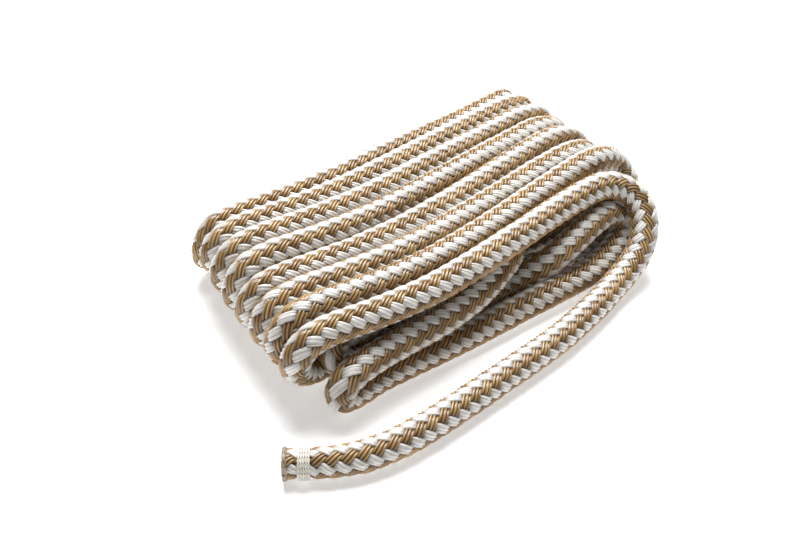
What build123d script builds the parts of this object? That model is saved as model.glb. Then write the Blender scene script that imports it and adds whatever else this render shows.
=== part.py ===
from build123d import *
import math
import os

# A coiled dock line: a double-braid rope laid down as eight long flat turns, one behind the
# other, with a slack turn in front of them and its whipped, heat-sealed free end lying loose
# on the floor.  +X runs along the turns, +Y goes from the front turn to the back one, +Z is up.
# The origin is on the floor, at the middle of the bounding box.

# --- driving dimensions, in millimetres ---
ROPE_DIAMETER = 12.7
CORE_DIAMETER = 8.2
WHIPPING_LENGTH = 5.6
WHIPPING_DEPTH = 0.6
WHIPPING_FROM_END = 5.0
SEAL_THICKNESS = 1.2
BOTTOM_FLAT_DEPTH = 0.15
FLOOR_BLOCK_SIZE = 760.0

# --- driving dimensions, in rope diameters ---
ORIGIN = (2.291, 1.441)
TURN_COUNT = 8
TURN_PITCH = 0.985
TURN_LEFT = (-2.8, -3.4, -3.7, -3.95, -4.15, -4.35, -4.5, -4.7)
TURN_RIGHT = (11.0, 11.05, 10.95, 10.7, 10.6, 10.35, 10.55, 9.05)
TURN_TOP = (2.5, 2.7, 2.8, 2.83, 2.72, 2.78, 2.88, 2.8)
TURN_BOTTOM = 0.5
TURN_LEAN = 29.0
TURN_SKEW = -1.5
TURN_MIDDLE = (3.0, -0.5)
TURN_THICKNESS = 1.0
RIGHT_BEND_LENGTH = 2.2

SLACK_LEFT = -3.85
SLACK_RIGHT = 9.05
SLACK_TOP = 1.65
SLACK_MIDDLE = (2.6, -1.86)
SLACK_SKEW = -3.4
SLACK_BEND_EXTRA = 0.9

TAIL_START = (7.0, -1.3, 2.8)
TAIL_ROUTE = [
    TAIL_START, (7.75, -1.32, 2.8), (8.5, -1.5, 2.74), (8.95, -2.0, 2.5),
    (9.0, -2.6, 2.12), (8.65, -3.1, 1.62), (8.2, -3.35, 1.1), (7.4, -3.47, 0.68),
    (6.3, -3.62, 0.5), (4.9, -3.88, 0.5), (3.0, -4.08, 0.5), (0.8, -4.12, 0.5),
    (-1.2, -4.2, 0.5), (-2.65, -4.2, 0.5), (-4.1, -3.93, 0.5), (-5.52, -3.26, 0.5),
    (-6.61, -2.15, 0.5),
]
INNER_END = (7.8, 2.0, 1.65)
INNER_STUB_LENGTH = 1.1

ROPE_RADIUS = ROPE_DIAMETER / 2
CORE_RADIUS = CORE_DIAMETER / 2
RIM_FILLET = 0.47 * ROPE_DIAMETER
RUN_SHARE = 0.45


def place(point):
    """A point given in rope diameters, in the part's own frame and in millimetres."""
    x, y, z = point
    return Vector((x - ORIGIN[0]) * ROPE_DIAMETER, (y - ORIGIN[1]) * ROPE_DIAMETER, z * ROPE_DIAMETER)


def turn_plate(left, right, top, bend_length, middle, lean, skew):
    """The outer shape of one flat turn: a long oval plate one rope thick with a round rim."""
    d = ROPE_DIAMETER
    slant = 1 / math.cos(math.radians(lean))
    half_height = (top - TURN_BOTTOM) / 2 * slant * d
    middle_height = (top + TURN_BOTTOM) / 2
    low = (left - middle[0]) * d + half_height
    high = (right - middle[0] - bend_length) * d
    rim = ROPE_RADIUS
    outer = half_height + rim
    bend = bend_length * d + rim
    bottom_run = Line((low, -outer), (high, -outer))
    right_bend = EllipticalCenterArc((high, 0), bend, outer, start_angle=-90, arc_size=180)
    top_run = Line((high, outer), (low, outer))
    left_bend = CenterArc((low, 0), outer, 90, 180)
    outline = make_face(Curve() + [bottom_run, right_bend, top_run, left_bend])
    plate = extrude(outline, TURN_THICKNESS * d / 2, both=True)
    plate = fillet(plate.edges(), RIM_FILLET)
    plate = Rot(0, 0, skew) * Rot(lean, 0, 0) * Rot(90, 0, 0) * plate
    return Pos(place((middle[0], middle[1], middle_height))) * plate


def main_turns():
    """The eight turns as one body, from the back one to the front one."""
    body = None
    for index in range(TURN_COUNT):
        steps_back = TURN_COUNT - 1 - index
        middle = (TURN_MIDDLE[0], TURN_MIDDLE[1] + TURN_PITCH * steps_back)
        plate = turn_plate(TURN_LEFT[index], TURN_RIGHT[index], TURN_TOP[index],
                           RIGHT_BEND_LENGTH, middle, TURN_LEAN, TURN_SKEW)
        if index == TURN_COUNT - 1:
            plate = split(plate, Plane(place(TAIL_START), z_dir=(-1, 0, 0)), keep=Keep.TOP)
        body = plate if body is None else body + plate
    return body


def slack_turn():
    """The slack turn in front, under the front run of the coil."""
    bend_length = (SLACK_TOP - TURN_BOTTOM) / 2 + SLACK_BEND_EXTRA
    return turn_plate(SLACK_LEFT, SLACK_RIGHT, SLACK_TOP, bend_length, SLACK_MIDDLE, 0, SLACK_SKEW)


def above_floor(shape):
    """The shape pressed slightly flat where it rests on the floor."""
    block = Pos(0, 0, FLOOR_BLOCK_SIZE / 2) * Box(FLOOR_BLOCK_SIZE, FLOOR_BLOCK_SIZE, FLOOR_BLOCK_SIZE)
    return Pos(0, 0, -BOTTOM_FLAT_DEPTH) * shape & block


def tail_path():
    """Straight runs joined by arcs that take 0.45 of the shorter run beside each corner."""
    points = [place(point) for point in TAIL_ROUTE]
    radii = []
    for before, corner, after in zip(points, points[1:], points[2:]):
        first, second = corner - before, after - corner
        half_turn = math.radians(first.get_angle(second)) / 2
        radii.append(RUN_SHARE * min(first.length, second.length) / math.tan(half_turn))
    print("tail radii in rope diameters:", [round(radius / ROPE_DIAMETER, 2) for radius in radii])
    return FilletPolyline(*points, radius=radii)


def rod(path, radius, name):
    """A round rod swept along a path, with its volume compared with section times length."""
    section = Plane(path @ 0, z_dir=path % 0) * Circle(radius)
    solid = sweep(section, path=path)
    expected = math.pi * radius ** 2 * path.length
    print(name, "length", round(path.length, 1), "volume / expected", round(solid.volume / expected, 4))
    return solid


def ring(start, direction, length, outer, inner):
    """A plain sleeve that starts at a point and runs along a direction."""
    sleeve = Plane(start, z_dir=direction) * Circle(outer) - Plane(start, z_dir=direction) * Circle(inner)
    return extrude(sleeve, length, dir=direction)


def disc(start, direction, length, radius):
    """A plain disc that starts at a point and runs along a direction."""
    return extrude(Plane(start, z_dir=direction) * Circle(radius), length, dir=direction)


def rope_end(prefix, cover_and_core, core, tip, inward):
    """Parts a rope's end into its cover, core, whipping twine and melted seal."""
    seal = disc(tip, inward, SEAL_THICKNESS, ROPE_RADIUS)
    band = ring(tip + inward * WHIPPING_FROM_END, inward, WHIPPING_LENGTH,
                ROPE_RADIUS, ROPE_RADIUS - WHIPPING_DEPTH)
    return {
        prefix + "_cover": cover_and_core - core - seal - band,
        prefix + "_core": core - seal,
        prefix + "_whipping": band,
        prefix + "_heat_seal": seal,
    }


path = tail_path()
tail_rod = rod(path, ROPE_RADIUS, "tail rope")
tail_core = rod(path, CORE_RADIUS, "tail core")
tail_nodes = rope_end("tail", tail_rod, tail_core, path @ 1, (path % 1) * -1)

inner_tip = place(INNER_END)
inner_inward = Vector(-1, 0, 0)
stub_length = INNER_STUB_LENGTH * ROPE_DIAMETER
inner_rod = disc(inner_tip, inner_inward, stub_length, ROPE_RADIUS)
inner_core = disc(inner_tip, inner_inward, stub_length, CORE_RADIUS)
inner_nodes = rope_end("inner_end", inner_rod, inner_core, inner_tip, inner_inward)

slack = above_floor(slack_turn()) - tail_rod
coil = above_floor(main_turns()) - slack - inner_rod - tail_rod

nodes = {"coiled_turns": coil, "slack_front_turn": slack}
nodes.update(tail_nodes)
nodes.update(inner_nodes)

os.makedirs("parts", exist_ok=True)
for name, shape in nodes.items():
    export_step(shape, "parts/" + name + ".step")

boxes = [shape.bounding_box() for shape in nodes.values()]
low = [min(getattr(box.min, axis) for box in boxes) for axis in "XYZ"]
high = [max(getattr(box.max, axis) for box in boxes) for axis in "XYZ"]
print("box from", [round(value, 3) for value in low], "to", [round(value, 3) for value in high])
print("middle", [round((a + b) / 2, 3) for a, b in zip(low, high)])
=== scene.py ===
import math

import bpy
import numpy as np
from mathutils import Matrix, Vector


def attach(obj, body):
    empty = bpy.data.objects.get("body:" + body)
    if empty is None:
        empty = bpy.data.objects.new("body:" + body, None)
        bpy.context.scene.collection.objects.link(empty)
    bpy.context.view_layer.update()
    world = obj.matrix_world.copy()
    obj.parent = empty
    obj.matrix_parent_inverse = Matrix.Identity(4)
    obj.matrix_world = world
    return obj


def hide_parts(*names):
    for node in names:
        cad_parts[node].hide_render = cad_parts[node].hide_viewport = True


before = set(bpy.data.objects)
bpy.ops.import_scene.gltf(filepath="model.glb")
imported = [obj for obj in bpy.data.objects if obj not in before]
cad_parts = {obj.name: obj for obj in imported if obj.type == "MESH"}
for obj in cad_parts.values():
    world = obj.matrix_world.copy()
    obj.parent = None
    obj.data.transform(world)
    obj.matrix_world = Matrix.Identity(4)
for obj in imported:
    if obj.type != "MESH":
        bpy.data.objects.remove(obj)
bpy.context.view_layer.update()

# The rope's sizes, in metres.
ROPE = 0.0127
WHIPPING_FROM_END = 0.0050
WHIPPING_LENGTH = 0.0056
WHIPPING_SQUEEZE = 0.15
SQUEEZE_EDGE = 0.0014
DRAWN_LENGTH = 0.030
DRAWN_SHARE = 0.08
ROUTE_STEP = 0.0004

# The route's sizes and points are in rope diameters, as in the part's own source.
ORIGIN = (2.291, 1.441)
TURN_COUNT = 8
TURN_LEFT = (-2.8, -3.4, -3.7, -3.95, -4.15, -4.35, -4.5, -4.7)
TURN_RIGHT = (11.0, 11.05, 10.95, 10.7, 10.6, 10.35, 10.55, 9.05)
FLOOR_RUN_HEIGHT = 0.5
TOP_RUN_HEIGHT = 2.8
LIFT_LEFT = (-0.42, -0.10, 0.05, 0.10, -0.10, 0.0, 0.12, 0.0)
LIFT_MIDDLE = (-0.22, -0.08, 0.02, 0.05, -0.12, -0.04, 0.0, 0.0)
LIFT_RIGHT = (-0.58, -0.22, -0.10, -0.08, 0.06, -0.05, 0.14, 0.0)
BACK_TURN_SHIFT = -0.1
RIGHT_BEND_LENGTH = 2.2
ARC_TANGENT = 0.414

# Where the front turn lies, and the step from each turn to the one behind it.
LEFT_START = -0.74
LEFT_PITCH = 0.98
MIDDLE_START = -1.52
MIDDLE_PITCH = 1.0
RIGHT_START = -1.3
RIGHT_PITCH = 0.99

# How far back each point of a left bend lies, from the floor up to the top run, and how far in
# its two lowest points lie.  The back turn's foot reaches further out.
LEFT_FOOT_BACK = 0.9
LEFT_LOW_BACK = 0.65
LEFT_HIGH_BACK = 0.25
LEFT_TOP_BACK = 0.1
LEFT_FOOT_IN = 0.55
LEFT_LOW_IN = 0.35
BACK_FOOT_REACH = 0.7
BACK_FOOT_FORWARD = 0.3
BACK_FOOT_DROP = 0.4

# How far back each point of a right bend lies, from the top run down to the floor.  The lower
# legs of the front bends are pulled forward, less in each turn further back.
TOP_RUN_SHARES = (0.20, 0.34, 0.50, 0.66)
TOP_RUN_END = 1.35
LEFT_WEIGHT = 0.4
RIGHT_HIGH_BACK = 0.1
RIGHT_LOW_BACK = 0.3
RIGHT_FOOT_BACK = 0.4
LAST_BEND_FORWARD = 1.5
BEND_FORWARD_STEP = 0.35
LOW_POINT_PULL = 0.7
FLOOR_RUN_BACK = 0.1
FLOOR_RUN_SHARES_AND_PULLS = ((0.3, 1.1), (0.5, 0.0), (0.7, 0.0))

# The inner end, hidden inside the coil, the slack turn in front, and the hidden way to the back.
INNER_ROUTE = [
    (7.8, 2.0, 1.65), (6.7, 1.95, 1.65), (5.7, 1.45, 1.65), (5.0, 0.55, 1.65),
    (4.65, -0.4, 1.7), (4.1, -1.05, 1.84), (3.2, -1.4, 1.82), (1.9, -1.7, 1.68),
    (0.3, -1.79, 1.6), (-1.1, -1.68, 1.6), (-2.2, -1.6, 1.6), (-3.2, -1.62, 1.6),
    (-3.85, -1.62, 1.35), (-3.85, -1.5, 0.65), (-3.1, -1.48, 0.5), (-2.2, -1.45, 0.5),
    (-0.7, -1.68, 0.5), (1.1, -1.97, 0.5), (3.0, -2.15, 0.5), (4.9, -2.38, 0.5),
    (6.5, -2.55, 0.5), (7.6, -2.42, 0.54), (8.55, -2.25, 0.8), (9.05, -2.02, 1.25),
    (8.55, -1.78, 1.82), (7.5, -1.78, 1.86), (6.2, -1.93, 1.68), (5.2, -1.85, 1.34),
    (4.4, -1.5, 0.88), (3.4, -1.15, 0.56), (2.0, -0.95, 0.5), (0.4, -0.8, 0.5),
    (-1.2, -0.7, 0.6), (-2.2, -0.7, 0.8), (-2.9, -0.62, 1.0), (-3.25, -0.42, 1.38),
    (-2.95, -0.3, 1.78), (-2.3, -0.3, 1.78), (-1.3, -0.4, 1.75), (0.0, 0.3, 1.68),
    (1.5, 1.5, 1.65), (3.0, 2.9, 1.62), (4.3, 4.3, 1.58), (5.3, 5.4, 1.54),
    (6.1, 6.2, 1.4), (6.9, 6.6, 1.28), (7.7, 6.75, 1.15), (7.8, 7.05, 0.62),
    (7.0, 7.12, 0.5), (5.2, 7.12, 0.5), (3.0, 7.1, 0.5), (0.6, 7.1, 0.5),
    (-0.9, 7.1, 0.5),
]
# The free end, from the top of the coil down to the floor and along it.
TAIL_ROUTE = [
    (7.75, -1.32, 2.8), (8.5, -1.5, 2.74), (8.95, -2.0, 2.5),
    (9.0, -2.6, 2.12), (8.65, -3.1, 1.62), (8.2, -3.35, 1.1), (7.4, -3.47, 0.68),
    (6.3, -3.62, 0.5), (4.9, -3.88, 0.5), (3.0, -4.08, 0.5), (0.8, -4.06, 0.5),
    (-1.2, -4.04, 0.5), (-2.65, -4.0, 0.5), (-4.1, -3.82, 0.5), (-5.5, -3.24, 0.5),
    (-6.61, -2.22, 0.5),
]

# Where a gold column shows on each run: its angle below the side that faces forward and up,
# in degrees, at the left, middle and right of the run.  The columns repeat every 90 degrees.
FACING = (0.0, -0.68, 0.735)
TURN_TWIST = (
    (-25, -5, 45), (-27, -12, -12), (-28, -12, 12), (-12, 20, 42),
    (-35, -18, 22), (-12, 28, 50), (12, 35, 45), (-30, -25, 0),
)
SLACK_TWIST = [((0.3, -1.79, 1.6), 17), ((3.0, -2.15, 0.5), -22), ((7.5, -1.78, 1.86), 20)]
TAIL_TWIST = [((6.3, -3.62, 0.5), -6), ((0.8, -4.06, 0.5), -8), ((-4.4, -3.7, 0.5), -12)]

# The braid: eight gold and eight white strands, each of three yarns side by side, over two
# and under two.  Lengths are in rope diameters.  A ridge is a yarn's crown, a valley is the
# crease between two yarns, and an edge is the strand's side.
CARRIERS = 8
BRAID_LEAD = 3.5
CROSSINGS_PER_LEAD = 2 * CARRIERS
WEAVE_PERIOD = 4
STRAND_RADIUS = 0.385
WEAVE_HEIGHT = 0.068
# In each strand, valley_shade is how much shade is painted into the creases between its yarns; its sides
# get full painted shade.
GOLD_STRAND = {"hand": -1, "float_middle": 0.5, "width": 0.296, "ridge": 0.047, "valley": -0.014,
               "valley_shade": 0.9, "edge": -0.050, "raised": -0.004, "seed": 11}
WHITE_STRAND = {"hand": 1, "float_middle": 2.5, "width": 0.288, "ridge": 0.042, "valley": 0.010,
                "valley_shade": 0.7, "edge": -0.035, "raised": 0.004, "seed": 12}
RIDGE_POSITION = 0.68
VALLEY_POSITION = 0.34
SIDE_RIDGE_HEIGHT = 0.85
FLOAT_STEPS = (-1.0, -0.80, -0.38, 0.0, 0.38, 0.80, 1.0, 2.0)
FLOAT_FLATNESS = 0.42
FLOAT_SCATTER = 0.005
# The next two set where painted shade darkens a float as it dips under its neighbours.
DIP_SHADE_START = 0.95
DIP_SHADE_RANGE = 0.8
NARROWEST_FLOAT = 0.92
STRAND_END_MARGIN = 0.0006
CORE_RADIUS = 0.335
CORE_END_MARGIN = 0.0008
CORE_ROW_SPACING = 0.28

# The whipping: two-ply twine.  The ply's radius and the tuck are shares of the twine's radius.
TWINE_TURNS = 5
TWINE_PLIES = 2
PLY_RADIUS_SHARE = 0.64
PLY_TWISTS_PER_TURN = 9.0
TUCK_DEPTH = 1.6
TUCK_ANGLE = 0.5

# The melted end, in rope diameters: how far back from the tip and how far out from the middle,
# from the cover's side, over the lip and in to the hollow.
SEAL_PROFILE = [
    (0.150, 0.440), (0.110, 0.478), (0.070, 0.496), (0.035, 0.500), (0.010, 0.490), (0.0, 0.468),
    (0.006, 0.440), (0.022, 0.400), (0.036, 0.340), (0.042, 0.260), (0.046, 0.170), (0.048, 0.080),
]
SEAL_CENTRE_DEPTH = 0.045
SEAL_LUMP = 0.006
SEAL_LUMP_DEPTH = 0.6
SEAL_LUMP_REACH = 0.3
SEAL_LUMP_PHASES = 6.28
SEAL_RIPPLE = 0.006
SEAL_RIPPLE_RADIUS = 0.4


def to_metres(points):
    """Route points given in rope diameters, in the part's own frame and in metres."""
    shifted = np.asarray(points, float) - np.array([ORIGIN[0], ORIGIN[1], 0.0])
    return shifted * ROPE


# ---------------------------------------------------------------- route

def coil_route():
    """The eight turns from the back one to the front one, and where each run's twist is set."""
    points, stations = [], []
    bend_radius = (TOP_RUN_HEIGHT - FLOOR_RUN_HEIGHT) / 2
    tangent = ARC_TANGENT * bend_radius
    middle_height = (TOP_RUN_HEIGHT + FLOOR_RUN_HEIGHT) / 2
    low, high = middle_height - tangent, middle_height + tangent
    reach = RIGHT_BEND_LENGTH
    for turn in range(TURN_COUNT):
        back = TURN_COUNT - 1 - turn
        shift = BACK_TURN_SHIFT if turn == 0 else 0.0
        foot = BACK_FOOT_REACH if turn == 0 else 0.0
        left, right = TURN_LEFT[turn], TURN_RIGHT[turn]
        y_left = LEFT_START + LEFT_PITCH * back
        y_middle = MIDDLE_START + MIDDLE_PITCH * back + shift
        y_right = RIGHT_START + RIGHT_PITCH * back + shift
        z_left = TOP_RUN_HEIGHT + LIFT_LEFT[turn]
        z_middle = TOP_RUN_HEIGHT + LIFT_MIDDLE[turn]
        z_right = TOP_RUN_HEIGHT + LIFT_RIGHT[turn]
        length = right - left
        points += [
            (left + bend_radius - tangent + LEFT_FOOT_IN, y_left + LEFT_FOOT_BACK, FLOOR_RUN_HEIGHT),
            (left + LEFT_LOW_IN - foot, y_left + LEFT_LOW_BACK - BACK_FOOT_FORWARD * foot,
             low - BACK_FOOT_DROP * foot),
            (left, y_left + LEFT_HIGH_BACK, high),
            (left + bend_radius - tangent, y_left + LEFT_TOP_BACK, z_left),
        ]
        first, second, third, fourth = [left + share * length for share in TOP_RUN_SHARES]
        top_run = [
            (first, LEFT_WEIGHT * y_left + (1 - LEFT_WEIGHT) * y_middle, (z_left + z_middle) / 2),
            (second, y_middle, z_middle),
            (third, y_middle, z_middle),
            (fourth, (y_middle + y_right) / 2, (z_middle + z_right) / 2),
            (right - TOP_RUN_END * reach, y_right, z_right),
        ]
        points += top_run
        stations += list(zip((top_run[0], top_run[2], top_run[4]), TURN_TWIST[turn]))
        if turn < TURN_COUNT - 1:
            y_next = LEFT_START + LEFT_PITCH * (back - 1) + LEFT_FOOT_BACK
            inset = right - reach + ARC_TANGENT * reach
            forward = max(0.0, LAST_BEND_FORWARD - BEND_FORWARD_STEP * (back - 1))
            points += [
                (inset, y_right, z_right),
                (right, y_right + RIGHT_HIGH_BACK, high),
                (right, y_right + RIGHT_LOW_BACK - LOW_POINT_PULL * forward, low),
                (inset, y_right + RIGHT_FOOT_BACK - forward, FLOOR_RUN_HEIGHT),
            ]
            for share, pull in FLOOR_RUN_SHARES_AND_PULLS:
                x = right * (1 - share) + TURN_LEFT[turn + 1] * share
                y = (y_right + RIGHT_FOOT_BACK) * (1 - share) + y_next * share + FLOOR_RUN_BACK
                points.append((x, y - pull * forward, FLOOR_RUN_HEIGHT))
    return points, stations


def route_line(points):
    """The smooth line of a NURBS curve whose control points are the route's points."""
    data = bpy.data.curves.new("rope_route", "CURVE")
    data.dimensions = "3D"
    data.resolution_u = 10
    spline = data.splines.new("NURBS")
    spline.points.add(len(points) - 1)
    for knot, place in zip(spline.points, points):
        knot.co = (place[0], place[1], place[2], 1.0)
    spline.order_u = 3
    spline.use_endpoint_u = True
    guide = bpy.data.objects.new("rope_route", data)
    bpy.context.scene.collection.objects.link(guide)
    bpy.context.view_layer.update()
    mesh = bpy.data.meshes.new_from_object(guide)
    line = np.array([vertex.co for vertex in mesh.vertices], float)
    bpy.data.objects.remove(guide)
    bpy.data.meshes.remove(mesh)
    bpy.data.curves.remove(data)
    return line


class RopeLine:
    """The rope's centreline with a frame that doesn't twist, and the braid's own twist on it."""

    def __init__(self, line, step, stations):
        gaps = np.linalg.norm(np.diff(line, axis=0), axis=1)
        line = line[np.concatenate([[True], gaps > 1e-9])]
        along = np.concatenate([[0.0], np.cumsum(np.linalg.norm(np.diff(line, axis=0), axis=1))])
        self.length = along[-1]
        self.s = np.linspace(0.0, self.length, int(self.length / step) + 1)
        self.points = np.stack([np.interp(self.s, along, line[:, axis]) for axis in range(3)], 1)
        tangents = np.gradient(self.points, self.s, axis=0)
        self.tangents = tangents / np.linalg.norm(tangents, axis=1)[:, None]
        self.normals = self.untwisted_normals()
        self.binormals = np.cross(self.tangents, self.normals)
        self.twist = self.twist_along(stations)

    def untwisted_normals(self):
        """A normal carried along the line without turning about it."""
        normals = np.zeros_like(self.points)
        normal = np.cross(self.tangents[0], (0.0, 0.0, 1.0))
        for index, tangent in enumerate(self.tangents):
            normal = normal - tangent * normal.dot(tangent)
            normal = normal / np.linalg.norm(normal)
            normals[index] = normal
        return normals

    def twist_along(self, stations):
        """The braid's angle in the untwisted frame, which puts its gold columns where the stations say."""
        facing = np.array(FACING)
        quarter = math.pi / 2
        spots, angles = [], []
        for place, degrees in stations:
            index = int(np.argmin(np.linalg.norm(self.points - place, axis=1)))
            direction = 1.0 if self.tangents[index][0] > 0 else -1.0
            face = math.atan2(facing.dot(self.binormals[index]), facing.dot(self.normals[index]))
            angle = face + direction * math.radians(degrees) - math.pi / 16
            if angles:
                angle -= quarter * round((angle - angles[-1]) / quarter)
            spots.append(self.s[index])
            angles.append(angle)
        twist = np.interp(self.s, spots, angles)
        window = int(2.0 * ROPE / (self.s[1] - self.s[0]))
        padded = np.concatenate([np.full(window, twist[0]), twist, np.full(window, twist[-1])])
        kernel = np.hanning(2 * window + 1)
        return np.convolve(padded, kernel / kernel.sum(), mode="same")[window:-window]

    def at(self, distance, values):
        """Values kept along the line, read at other distances."""
        return np.stack([np.interp(distance, self.s, values[:, axis]) for axis in range(3)], -1)

    def surface(self, distance, angle, radius):
        """Points at an angle and radius about the line."""
        centre = self.at(distance, self.points)
        normal = self.at(distance, self.normals)
        binormal = self.at(distance, self.binormals)
        turned = angle + np.interp(distance, self.s, self.twist)
        cosine, sine = np.cos(turned)[..., None], np.sin(turned)[..., None]
        return centre + (normal * cosine + binormal * sine) * radius[..., None]


# ---------------------------------------------------------------- mesh pieces

def new_object(name, vertices, faces):
    """A smooth-shaded mesh object in the scene."""
    mesh = bpy.data.meshes.new(name)
    mesh.from_pydata(vertices.tolist() if hasattr(vertices, "tolist") else vertices, [], faces)
    mesh.polygons.foreach_set("use_smooth", [True] * len(mesh.polygons))
    piece = bpy.data.objects.new(name, mesh)
    bpy.context.scene.collection.objects.link(piece)
    return piece


def strand_section(kind):
    """Across a strand, in rope diameters: side offset, height, and how strong the shade painted in a
    crease there is.
    """
    half, ridge, valley, edge = kind["width"] / 2, kind["ridge"], kind["valley"], kind["edge"]
    shade = kind["valley_shade"]
    return [
        (-half, edge, 1.0), (-half * RIDGE_POSITION, ridge * SIDE_RIDGE_HEIGHT, 0.0),
        (-half * VALLEY_POSITION, valley, shade), (0.0, ridge, 0.0),
        (half * VALLEY_POSITION, valley, shade), (half * RIDGE_POSITION, ridge * SIDE_RIDGE_HEIGHT, 0.0),
        (half, edge, 1.0),
    ]


def squeeze(distance, total):
    """The cover's radius as a share of its full one: it narrows at each end and under the whipping."""
    half = WHIPPING_LENGTH / 2
    middle = WHIPPING_FROM_END + half
    from_end = np.minimum(distance, total - distance)
    inside = np.clip((half + SQUEEZE_EDGE - np.abs(from_end - middle)) / SQUEEZE_EDGE, 0.0, 1.0)
    drawn = np.clip(1.0 - from_end / DRAWN_LENGTH, 0.0, 1.0)
    under_twine = 1.0 - WHIPPING_SQUEEZE * inside * inside * (3 - 2 * inside)
    return under_twine * (1.0 - DRAWN_SHARE * np.sqrt(drawn))


def strand_rows(line, kind, carrier, crossing, random):
    """Along one strand: distance, weave phase, height scatter and tone at each of its rows."""
    hand = kind["hand"]
    first = 2 * carrier if hand > 0 else 2 * carrier - line.length / crossing
    last = 2 * carrier + line.length / crossing if hand > 0 else 2 * carrier
    periods = np.arange(math.floor(first / WEAVE_PERIOD) - 1, math.ceil(last / WEAVE_PERIOD) + 1)
    phase = (periods[:, None] * WEAVE_PERIOD + kind["float_middle"] + np.array(FLOAT_STEPS)[None]).ravel()
    lift = np.repeat(random.normal(0.0, FLOAT_SCATTER, len(periods)), len(FLOAT_STEPS))
    tone = np.repeat(random.random(len(periods)), len(FLOAT_STEPS))
    distance = (phase - 2 * carrier) * crossing * hand
    order = np.argsort(distance)
    distance, lift, tone = distance[order], lift[order], tone[order]
    end = line.length - STRAND_END_MARGIN
    keep = (distance > STRAND_END_MARGIN) & (distance < end)
    distance = np.concatenate([[STRAND_END_MARGIN], distance[keep], [end]])
    phase = distance / (crossing * hand) + 2 * carrier
    lift = np.concatenate([[0.0], lift[keep], [0.0]])
    tone = np.concatenate([[0.5], tone[keep], [0.5]])
    return distance, phase, lift, tone


def cover_strands(name, line, kind):
    """Eight continuous strands of one colour.  A hand of -1 is left-handed and +1 right-handed."""
    hand = kind["hand"]
    random = np.random.default_rng(kind["seed"])
    section = strand_section(kind)
    across = len(section)
    crossing = BRAID_LEAD * ROPE / CROSSINGS_PER_LEAD
    slope = math.atan2(math.pi / CARRIERS * STRAND_RADIUS, BRAID_LEAD / CROSSINGS_PER_LEAD)
    vertex_blocks, faces, creases, fibre, tones, dip_shades, cleft_shades = [], [], [], [], [], [], []
    start = 0
    for carrier in range(CARRIERS):
        distance, phase, lift, tone = strand_rows(line, kind, carrier, crossing, random)
        wave = np.cos((phase - kind["float_middle"]) * 2 * math.pi / WEAVE_PERIOD)
        wave = np.sign(wave) * np.abs(wave) ** FLOAT_FLATNESS
        radius = STRAND_RADIUS + kind["raised"] + WEAVE_HEIGHT * wave + lift * (wave > 0)
        rows = len(distance)
        puff = NARROWEST_FLOAT + (1 - NARROWEST_FLOAT) * np.clip(wave + 0.5, 0.0, 1.0)
        # Painted shade, carried by two attributes: how far a float has dipped under its neighbours, and
        # how deep in a crease each vertex lies.
        dip_shades.append(np.repeat(np.clip((DIP_SHADE_START - wave) / DIP_SHADE_RANGE, 0.0, 1.0), across))
        cleft_shades.append(np.tile([crease for _, _, crease in section], rows))
        tones.append(np.repeat(tone, across))
        squeezed = squeeze(distance, line.length)
        block = np.zeros((rows, across, 3))
        for column, (side, height, crease) in enumerate(section):
            offset = side * puff
            angle = math.pi / CARRIERS * phase + offset * math.cos(slope) / STRAND_RADIUS
            place = distance - hand * offset * math.sin(slope) * ROPE
            place = np.clip(place, STRAND_END_MARGIN, line.length - STRAND_END_MARGIN)
            block[:, column] = line.surface(place, angle, (radius + height) * squeezed * ROPE)
            fibre.append((start + np.arange(rows) * across + column, side * ROPE, distance, carrier))
            following = (column + 1) % across
            a = start + np.arange(rows - 1) * across + column
            b = start + np.arange(rows - 1) * across + following
            faces.append(np.stack([a, b, b + across, a + across], 1))
            if crease:
                creases.append(np.stack([a, a + across], 1))
        vertex_blocks.append(block.reshape(-1, 3))
        start += rows * across
    vertices = np.concatenate(vertex_blocks)
    vertices[:, 2] = np.maximum(vertices[:, 2], 0.0)
    quads = np.concatenate(faces)
    if hand > 0:
        quads = quads[:, ::-1]
    piece = new_object(name, vertices, quads.tolist())
    mark_creases(piece.data, np.concatenate(creases))
    fibre_values = np.zeros((len(vertices), 3), np.float32)
    for indices, side, distance, carrier in fibre:
        fibre_values[indices, 0] = side + carrier * ROPE
        fibre_values[indices, 1] = distance
        fibre_values[indices, 2] = carrier
    attribute = piece.data.attributes.new("fibre", "FLOAT_VECTOR", "POINT")
    attribute.data.foreach_set("vector", fibre_values.ravel())
    for label, blocks in (("tone", tones), ("dip_shade", dip_shades), ("cleft_shade", cleft_shades)):
        attribute = piece.data.attributes.new(label, "FLOAT", "POINT")
        attribute.data.foreach_set("value", np.concatenate(blocks).astype(np.float32))
    return piece


def mark_creases(mesh, pairs):
    """Keeps the edges between the given pairs of vertices sharp."""
    wanted = {(int(min(a, b)), int(max(a, b))) for a, b in pairs}
    ends = np.zeros(len(mesh.edges) * 2, np.int32)
    mesh.edges.foreach_get("vertices", ends)
    ends = np.sort(ends.reshape(-1, 2), axis=1)
    size = len(mesh.vertices)
    codes = ends[:, 0].astype(np.int64) * size + ends[:, 1]
    targets = np.array([a * size + b for a, b in wanted], np.int64)
    mesh.edges.foreach_set("use_edge_sharp", np.isin(codes, targets))


def band_faces(rows, around):
    """The four-sided faces of a closed band whose vertices run round it row by row."""
    faces = []
    for row in range(rows - 1):
        for column in range(around):
            following = (column + 1) % around
            faces.append((row * around + column, row * around + following,
                          (row + 1) * around + following, (row + 1) * around + column))
    return faces


def tube(name, distance, radius, line, around):
    """A closed tube about the rope's line, with a radius at each distance."""
    rows = len(distance)
    angle = np.arange(around) * 2 * math.pi / around
    grid = line.surface(np.repeat(distance, around), np.tile(angle, rows), np.repeat(radius, around))
    faces = band_faces(rows, around)
    faces.append(tuple(range(around))[::-1])
    faces.append(tuple((rows - 1) * around + column for column in range(around)))
    return new_object(name, grid, faces)


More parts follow.
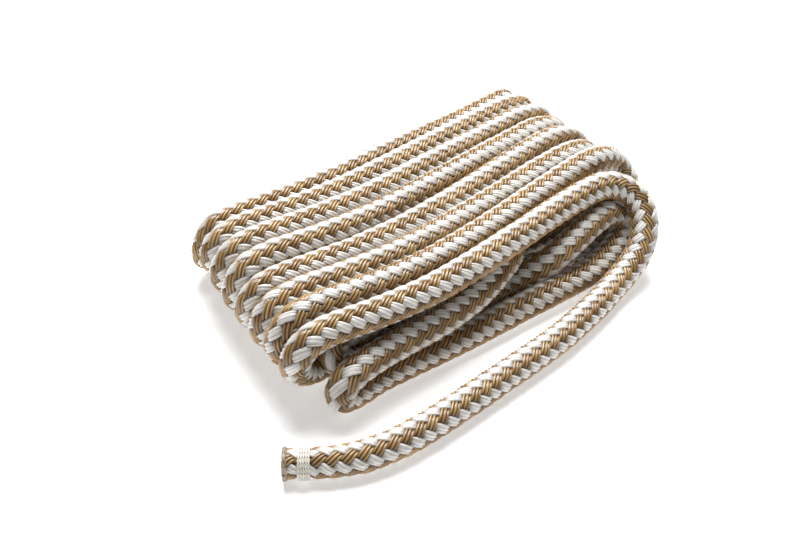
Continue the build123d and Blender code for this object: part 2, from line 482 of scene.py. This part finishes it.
def braided_core(line):
    """The rope's own core, which the cover is braided over."""
    rows, around = int(line.length / (CORE_ROW_SPACING * ROPE)), 14
    distance = np.linspace(CORE_END_MARGIN, line.length - CORE_END_MARGIN, rows)
    radius = np.full(rows, CORE_RADIUS * ROPE) * squeeze(distance, line.length)
    return tube("core_braid", distance, radius, line, around)


def whipping(name, line, far):
    """Five turns of two-ply twine wound round a rope's end, with both ends tucked under."""
    samples, around = 240, 7
    twine_radius = WHIPPING_LENGTH / TWINE_TURNS / 2
    ply_radius = twine_radius * PLY_RADIUS_SHARE
    wind = np.linspace(0.0, TWINE_TURNS * 2 * math.pi, samples)
    depth = WHIPPING_FROM_END + twine_radius + (WHIPPING_LENGTH - 2 * twine_radius) * wind / wind[-1]
    distance = line.length - depth if far else depth
    ease = np.clip(np.minimum(wind, wind[-1] - wind) / TUCK_ANGLE, 0.0, 1.0)
    ring = 0.5 * ROPE - twine_radius * (1.0 + TUCK_DEPTH * (1 - ease) ** 2)
    vertices, faces = [], []
    for ply in range(TWINE_PLIES):
        lay = wind * PLY_TWISTS_PER_TURN + ply * 2 * math.pi / TWINE_PLIES
        start = len(vertices)
        for column in range(around):
            spin = column * 2 * math.pi / around
            out = (twine_radius - ply_radius) * np.cos(lay) + ply_radius * math.cos(spin)
            side = (twine_radius - ply_radius) * np.sin(lay) + ply_radius * math.sin(spin)
            vertices.append(line.surface(distance + side, wind, ring + out))
        for row in range(samples - 1):
            for column in range(around):
                following = (column + 1) % around
                here = (start + column) * samples + row
                beside = (start + following) * samples + row
                faces.append((here, beside, beside + 1, here + 1))
        faces.append(tuple((start + column) * samples for column in range(around))[::-1])
        faces.append(tuple((start + column) * samples + samples - 1 for column in range(around)))
    grid = np.concatenate(vertices)
    grid[:, 2] = np.maximum(grid[:, 2], 0.0)
    return new_object(name, grid, faces)


def heat_seal(name, line, far, seed):
    """The rope's cut end, melted into a thin hard lip round a shallow uneven hollow."""
    random = np.random.default_rng(seed)
    around = 64
    angle = np.arange(around) * 2 * math.pi / around
    lumps = sum(random.normal(0, SEAL_LUMP) * np.cos(k * angle + random.random() * SEAL_LUMP_PHASES)
                for k in range(3, 12))
    vertices = []
    for depth, radius in SEAL_PROFILE:
        ripple = SEAL_RIPPLE * np.cos(CARRIERS * 2 * angle) * min(1.0, radius / SEAL_RIPPLE_RADIUS)
        share = radius / 0.5
        back = np.maximum((depth + lumps * share * SEAL_LUMP_DEPTH) * ROPE, 0.0)
        distance = line.length - back if far else back
        reach = np.minimum(radius + ripple + SEAL_LUMP_REACH * lumps * share, 0.5) * ROPE
        vertices.append(line.surface(distance, angle, reach))
    rows = len(SEAL_PROFILE)
    for depth in (SEAL_CENTRE_DEPTH, SEAL_PROFILE[0][0]):
        back = depth * ROPE
        middle = np.array([line.length - back if far else back])
        vertices.append(line.surface(middle, np.zeros(1), np.zeros(1)))
    grid = np.concatenate(vertices)
    grid[:, 2] = np.maximum(grid[:, 2], 0.0)
    faces = band_faces(rows, around)
    for column in range(around):
        following = (column + 1) % around
        faces.append(((rows - 1) * around + column, (rows - 1) * around + following, rows * around))
        faces.append((following, column, rows * around + 1))
    if not far:
        faces = [face[::-1] for face in faces]
    return new_object(name, grid, faces)


# ---------------------------------------------------------------- materials

class Nodes:
    """Short names for building a material's nodes."""

    def __init__(self, name):
        self.material = bpy.data.materials.new(name)
        self.material.use_nodes = True
        self.tree = self.material.node_tree
        self.shader = self.tree.nodes["Principled BSDF"]

    def add(self, kind, settings=None, **inputs):
        node = self.tree.nodes.new(kind)
        for key, value in (settings or {}).items():
            setattr(node, key, value)
        for key, value in inputs.items():
            self.feed(node.inputs[key.replace("_", " ")], value)
        return node

    def feed(self, socket, value):
        if isinstance(value, bpy.types.NodeSocket):
            self.tree.links.new(value, socket)
        else:
            socket.default_value = value

    def mix(self, share, first, second, blend="MIX"):
        node = self.add("ShaderNodeMix", {"data_type": "RGBA", "blend_type": blend})
        self.feed(node.inputs[0], share)
        self.feed(node.inputs[6], first)
        self.feed(node.inputs[7], second)
        return node.outputs[2]

    def stretched(self, vector, scale):
        node = self.add("ShaderNodeMapping", Vector=vector, Scale=scale)
        return node.outputs["Vector"]

    def noise(self, vector, scale, detail=3.0):
        node = self.add("ShaderNodeTexNoise", Vector=vector, Scale=scale, Detail=detail)
        return node.outputs["Fac"]

    def attribute(self, name, output):
        return self.add("ShaderNodeAttribute", {"attribute_name": name}).outputs[output]

    def calculate(self, operation, first, second):
        node = self.add("ShaderNodeMath", {"operation": operation})
        self.feed(node.inputs[0], first)
        self.feed(node.inputs[1], second)
        return node.outputs[0]

    def power(self, value, exponent):
        return self.calculate("POWER", value, exponent)

    def scaled(self, value, factor):
        return self.calculate("MULTIPLY", value, factor)

    def ramp(self, value, low, high):
        node = self.add("ShaderNodeMapRange", Value=value, From_Min=low, From_Max=high)
        return node.outputs["Result"]


def yarn_material(name, light, middle, dark, cleft_shade_share, cleft_shade_power, roughness):
    """Bright filament yarn, with fine threads and random streaks along it, and painted shade between
    yarns, at the strands' sides and where a float dips.
    """
    n = Nodes(name)
    fibre = n.attribute("fibre", "Vector")
    threads = n.noise(n.stretched(fibre, (9000.0, 260.0, 3.0)), 1.0, 2.0)
    strands = n.noise(n.stretched(fibre, (2400.0, 120.0, 3.0)), 1.0, 3.0)
    body = n.mix(n.attribute("tone", "Fac"), middle, light)
    streaked = n.mix(n.scaled(n.ramp(strands, 0.40, 0.80), 0.45), body, dark)
    # Painted shade: the colour goes to the dark colour where a float dips under its neighbours and in the
    # creases between yarns and strands.
    dip_shade = n.power(n.attribute("dip_shade", "Fac"), 1.2)
    cleft_shade = n.scaled(n.power(n.attribute("cleft_shade", "Fac"), cleft_shade_power), cleft_shade_share)
    between = n.mix(cleft_shade, streaked, dark)
    n.feed(n.shader.inputs["Base Color"], n.mix(n.scaled(dip_shade, 0.92), between, dark))
    gloss = n.add("ShaderNodeMapRange", Value=threads, To_Min=roughness - 0.08, To_Max=roughness + 0.12)
    n.feed(n.shader.inputs["Roughness"], gloss.outputs["Result"])
    fine = n.add("ShaderNodeBump", Height=threads, Strength=0.35, Distance=0.00008)
    coarse = n.add("ShaderNodeBump", Height=strands, Strength=0.4, Distance=0.00016,
                   Normal=fine.outputs["Normal"])
    n.feed(n.shader.inputs["Normal"], coarse.outputs["Normal"])
    n.shader.inputs["Specular IOR Level"].default_value = 0.6
    n.shader.inputs["Sheen Weight"].default_value = 0.08
    n.shader.inputs["Sheen Roughness"].default_value = 0.4
    return n.material


def core_material():
    """The core as it shows between the strands: deep brown, for the shade down there."""
    n = Nodes("core_yarn")
    deep, less_deep = (0.04, 0.027, 0.016, 1), (0.08, 0.058, 0.038, 1)
    where = n.add("ShaderNodeNewGeometry").outputs["Position"]
    weave = n.noise(n.stretched(where, (900.0, 900.0, 900.0)), 1.0, 3.0)
    n.feed(n.shader.inputs["Base Color"], n.mix(weave, deep, less_deep))
    bump = n.add("ShaderNodeBump", Height=weave, Strength=0.6, Distance=0.0003)
    n.feed(n.shader.inputs["Normal"], bump.outputs["Normal"])
    n.shader.inputs["Roughness"].default_value = 0.6
    return n.material


def twine_material():
    """Waxed white whipping twine with fine threads and a little grime between its turns."""
    n = Nodes("whipping_twine")
    clean, grimy = (0.80, 0.77, 0.69, 1), (0.62, 0.57, 0.47, 1)
    where = n.add("ShaderNodeNewGeometry").outputs["Position"]
    threads = n.noise(where, 5200.0, 2.0)
    grime = n.noise(where, 420.0, 2.0)
    n.feed(n.shader.inputs["Base Color"], n.mix(n.ramp(grime, 0.4, 0.9), clean, grimy))
    bump = n.add("ShaderNodeBump", Height=threads, Strength=0.4, Distance=0.0001)
    n.feed(n.shader.inputs["Normal"], bump.outputs["Normal"])
    n.shader.inputs["Roughness"].default_value = 0.45
    return n.material


def melted_material():
    """Nylon melted from gold and white yarn: blotched, slightly glossy, browned in places."""
    n = Nodes("melted_nylon")
    tan, grey, brown = (0.38, 0.29, 0.18, 1), (0.45, 0.41, 0.32, 1), (0.10, 0.065, 0.03, 1)
    where = n.add("ShaderNodeNewGeometry").outputs["Position"]
    blotch = n.noise(where, 380.0, 3.0)
    scorch = n.noise(where, 900.0, 2.0)
    pale = n.mix(n.ramp(blotch, 0.35, 0.65), tan, grey)
    n.feed(n.shader.inputs["Base Color"], n.mix(n.ramp(scorch, 0.45, 0.70), pale, brown))
    bump = n.add("ShaderNodeBump", Height=blotch, Strength=0.5, Distance=0.0004)
    n.feed(n.shader.inputs["Normal"], bump.outputs["Normal"])
    n.shader.inputs["Roughness"].default_value = 0.38
    return n.material


def floor_material():
    """A plain pale studio floor with a barely visible grain, and a little light of its own."""
    n = Nodes("studio_floor")
    where = n.add("ShaderNodeNewGeometry").outputs["Position"]
    grain = n.noise(where, 40.0, 2.0)
    n.feed(n.shader.inputs["Base Color"], n.mix(grain, (0.90, 0.90, 0.90, 1), (0.93, 0.93, 0.93, 1)))
    n.shader.inputs["Roughness"].default_value = 0.8
    n.shader.inputs["Emission Color"].default_value = (1, 1, 1, 1)
    n.shader.inputs["Emission Strength"].default_value = 0.42
    return n.material


def paint(piece, material):
    """Gives a piece its material and lets it ride on the part."""
    piece.data.materials.append(material)
    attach(piece, "root")
    return piece


# ---------------------------------------------------------------- the object

coil_points, coil_stations = coil_route()
route = to_metres(INNER_ROUTE + coil_points + TAIL_ROUTE)
stations = SLACK_TWIST + coil_stations + TAIL_TWIST
line = RopeLine(route_line(route), ROUTE_STEP, [(to_metres(place), angle) for place, angle in stations])

# Each yarn's dark colour is painted shade, laid in its creases, at its sides and where its floats dip; its
# random streaks also lean towards it.
gold_yarn = yarn_material(
    "gold_yarn", light=(0.84, 0.535, 0.225, 1), middle=(0.53, 0.305, 0.115, 1),
    dark=(0.018, 0.007, 0.002, 1), cleft_shade_share=1.0, cleft_shade_power=0.8, roughness=0.26)
white_yarn = yarn_material(
    "white_yarn", light=(0.96, 0.935, 0.89, 1), middle=(0.92, 0.89, 0.84, 1),
    dark=(0.060, 0.038, 0.020, 1), cleft_shade_share=0.60, cleft_shade_power=1.7, roughness=0.24)
twine = twine_material()
melted = melted_material()

gold = paint(cover_strands("cover_gold_strands", line, GOLD_STRAND), gold_yarn)
white = paint(cover_strands("cover_white_strands", line, WHITE_STRAND), white_yarn)
core = paint(braided_core(line), core_material())
tail_whipping = paint(whipping("tail_whipping_twine", line, True), twine)
inner_whipping = paint(whipping("inner_whipping_twine", line, False), twine)
tail_seal = paint(heat_seal("tail_melted_end", line, True, 21), melted)
inner_seal = paint(heat_seal("inner_melted_end", line, False, 22), melted)

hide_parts("coiled_turns", "slack_front_turn", "tail_cover", "inner_end_cover")
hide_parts("tail_core", "inner_end_core")
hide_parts("tail_whipping")
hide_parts("inner_end_whipping")
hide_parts("tail_heat_seal")
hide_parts("inner_end_heat_seal")

# ---------------------------------------------------------------- studio

# The camera's place and aim are in rope diameters, like the route; its lens is in millimetres.
CAMERA_STAND = (-19.15, -20.67, 25.21)
CAMERA_AIM = (0.0, 0.0, 2.8)
CAMERA_LENS = 51.7
FLOOR_HALF_SIZE = 6.0


def studio_floor():
    """A floor that runs far past the view on every side."""
    size = FLOOR_HALF_SIZE
    corners = [(-size, -size, 0), (size, -size, 0), (size, size, 0), (-size, size, 0)]
    floor = new_object("studio_floor", corners, [(0, 1, 2, 3)])
    floor.data.materials.append(floor_material())


def area_light(name, place, target, size, watts):
    """A soft white square light that looks at a point."""
    data = bpy.data.lights.new(name, "AREA")
    data.shape = "SQUARE"
    data.size = size
    data.energy = watts
    lamp = bpy.data.objects.new(name, data)
    lamp.location = place
    lamp.rotation_euler = (Vector(target) - Vector(place)).to_track_quat("-Z", "Y").to_euler()
    bpy.context.scene.collection.objects.link(lamp)


def studio_lights():
    """Even light from all round, with a large soft lamp overhead and a weak one in front."""
    world = bpy.data.worlds.new("studio")
    world.use_nodes = True
    world.node_tree.nodes["Background"].inputs["Color"].default_value = (1, 1, 1, 1)
    world.node_tree.nodes["Background"].inputs["Strength"].default_value = 0.10
    bpy.context.scene.world = world
    middle = (0.0, 0.0, 0.02)
    area_light("overhead", (0.28, 0.32, 0.95), middle, 0.65, 20.5)
    area_light("front", (-0.7, -0.7, 0.55), middle, 0.5, 1.0)


def photo_camera():
    """A camera that looks along the turns from the front left and from above."""
    stand = Vector(to_metres(CAMERA_STAND))
    aim = Vector(to_metres(CAMERA_AIM))
    data = bpy.data.cameras.new("camera")
    data.sensor_width = 36.0
    data.lens = CAMERA_LENS
    data.clip_start = 0.01
    camera = bpy.data.objects.new("camera", data)
    camera.location = stand
    camera.rotation_euler = (aim - stand).to_track_quat("-Z", "Y").to_euler()
    bpy.context.scene.collection.objects.link(camera)
    bpy.context.scene.camera = camera


studio_floor()
studio_lights()
photo_camera()
bpy.context.scene.view_settings.view_transform = "Standard"
